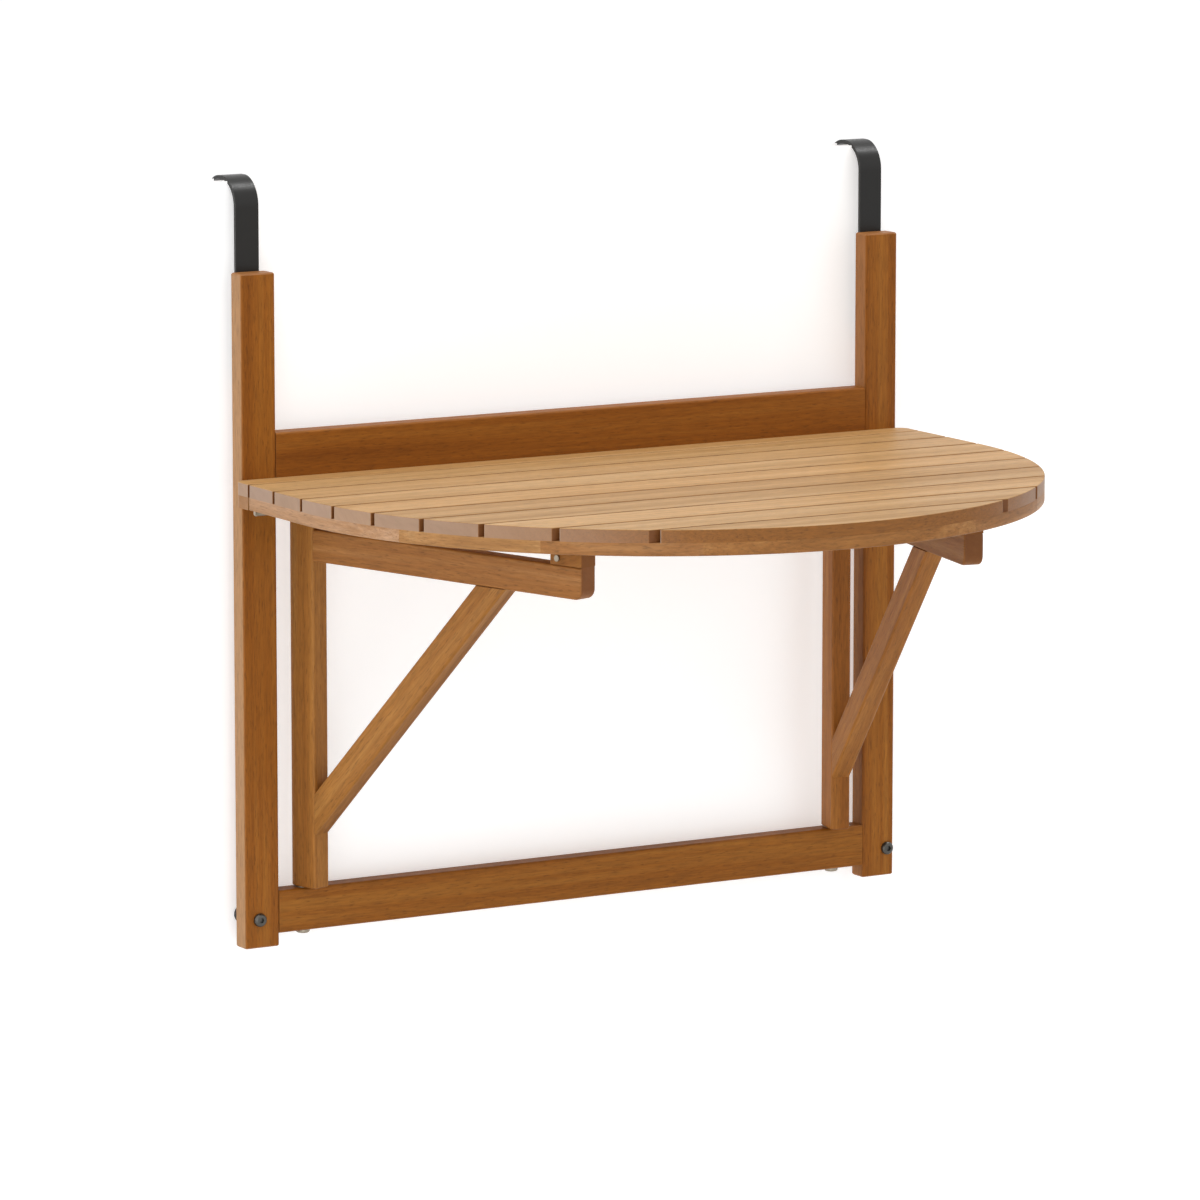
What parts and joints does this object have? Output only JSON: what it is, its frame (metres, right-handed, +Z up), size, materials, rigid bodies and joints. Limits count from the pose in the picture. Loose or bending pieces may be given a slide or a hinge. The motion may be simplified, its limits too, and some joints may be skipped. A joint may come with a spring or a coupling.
{
  "type": "folding balcony table",
  "caption": "Wooden railing-hung balcony table: slatted half-oval leaf on a finger-jointed rim, hinged to a post frame and held up by swing-out braced gates.",
  "frame": {"origin": "the railing's top front edge, midway between the two hooks", "axes": "+X along the railing to the right seen from the seat, +Y from the table towards the railing, +Z up"},
  "size_m": [0.614, 0.492, 0.604],
  "materials": {
    "top_wood": "oiled acacia, fine grain",
    "rim_wood": "oiled acacia, fine grain",
    "frame_wood": "oiled acacia, satin",
    "gate_wood": "oiled acacia, satin",
    "dowel_wood": "bare beech",
    "hook_coating": "black powder coat, satin",
    "bolt_steel": "dull zinc",
    "zinc_steel": "zinc plated",
    "pad_plastic": "black, matt"
  },
  "bodies": {
    "frame": {"left_post": "frame_wood", "right_post": "frame_wood", "bottom_rail": "frame_wood", "back_rail": "frame_wood", "rail_dowels": "dowel_wood", "ledge_bar": "rim_wood", "ledge_slat": "top_wood", "ledge_screws": "zinc_steel", "left_hook": "hook_coating", "right_hook": "hook_coating", "hook_screws": "zinc_steel", "leveller_nuts": "zinc_steel", "left_hinge_fixed_plate": "zinc_steel", "right_hinge_fixed_plate": "zinc_steel", "left_hinge_pin": "zinc_steel", "right_hinge_pin": "zinc_steel", "fixed_hinge_screws": "zinc_steel", "left_pivot_bolt": "zinc_steel", "right_pivot_bolt": "zinc_steel", "upper_pivot_pins": "zinc_steel", "pivot_washers": "zinc_steel"},
    "left_gate": {"left_gate_post": "gate_wood", "left_gate_arm": "gate_wood", "left_gate_brace": "gate_wood", "left_gate_spacer": "gate_wood", "left_gate_dowels": "dowel_wood", "left_spacer_screws": "zinc_steel"},
    "right_gate": {"right_gate_post": "gate_wood", "right_gate_arm": "gate_wood", "right_gate_brace": "gate_wood", "right_gate_spacer": "gate_wood", "right_gate_dowels": "dowel_wood", "right_spacer_screws": "zinc_steel"},
    "leaf": {"slat_1": "top_wood", "slat_2": "top_wood", "slat_3": "top_wood", "slat_4": "top_wood", "slat_5": "top_wood", "slat_6": "top_wood", "slat_7": "top_wood", "slat_8": "top_wood", "slat_9": "top_wood", "rim_1": "rim_wood", "rim_2": "rim_wood", "rim_3": "rim_wood", "rim_4": "rim_wood", "rim_5": "rim_wood", "rim_6": "rim_wood", "rim_7": "rim_wood", "leaf_back_bar": "rim_wood", "left_bearer": "rim_wood", "right_bearer": "rim_wood", "slat_screws": "zinc_steel", "left_hinge_leaf_plate": "zinc_steel", "right_hinge_leaf_plate": "zinc_steel", "leaf_hinge_screws": "zinc_steel"},
    "left_leveller": {"left_leveller_bolt": "bolt_steel", "left_foot_pad": "pad_plastic"},
    "right_leveller": {"right_leveller_bolt": "bolt_steel", "right_foot_pad": "pad_plastic"}
  },
  "joints": [
    {"name": "left_gate_swing", "type": "hinge", "parent": "frame", "child": "left_gate", "pos_m": [-0.245, -0.0115, -0.4], "axis": [0, 0, 1], "range_deg": [-67, 73]},
    {"name": "right_gate_swing", "type": "hinge", "parent": "frame", "child": "right_gate", "pos_m": [0.245, -0.0115, -0.4], "axis": [0, 0, 1], "range_deg": [-73.2, 61.2]},
    {"name": "leaf_lift", "type": "hinge", "parent": "frame", "child": "leaf", "pos_m": [0, -0.0442, -0.2525], "axis": [-1, 0, 0], "range_deg": [0, 5]},
    {"name": "left_leveller_travel", "type": "slide", "parent": "frame", "child": "left_leveller", "axis": [0, -1, 0], "range_m": [0, 0.008]},
    {"name": "right_leveller_travel", "type": "slide", "parent": "frame", "child": "right_leveller", "axis": [0, -1, 0], "range_m": [0, 0.008]}
  ]
}
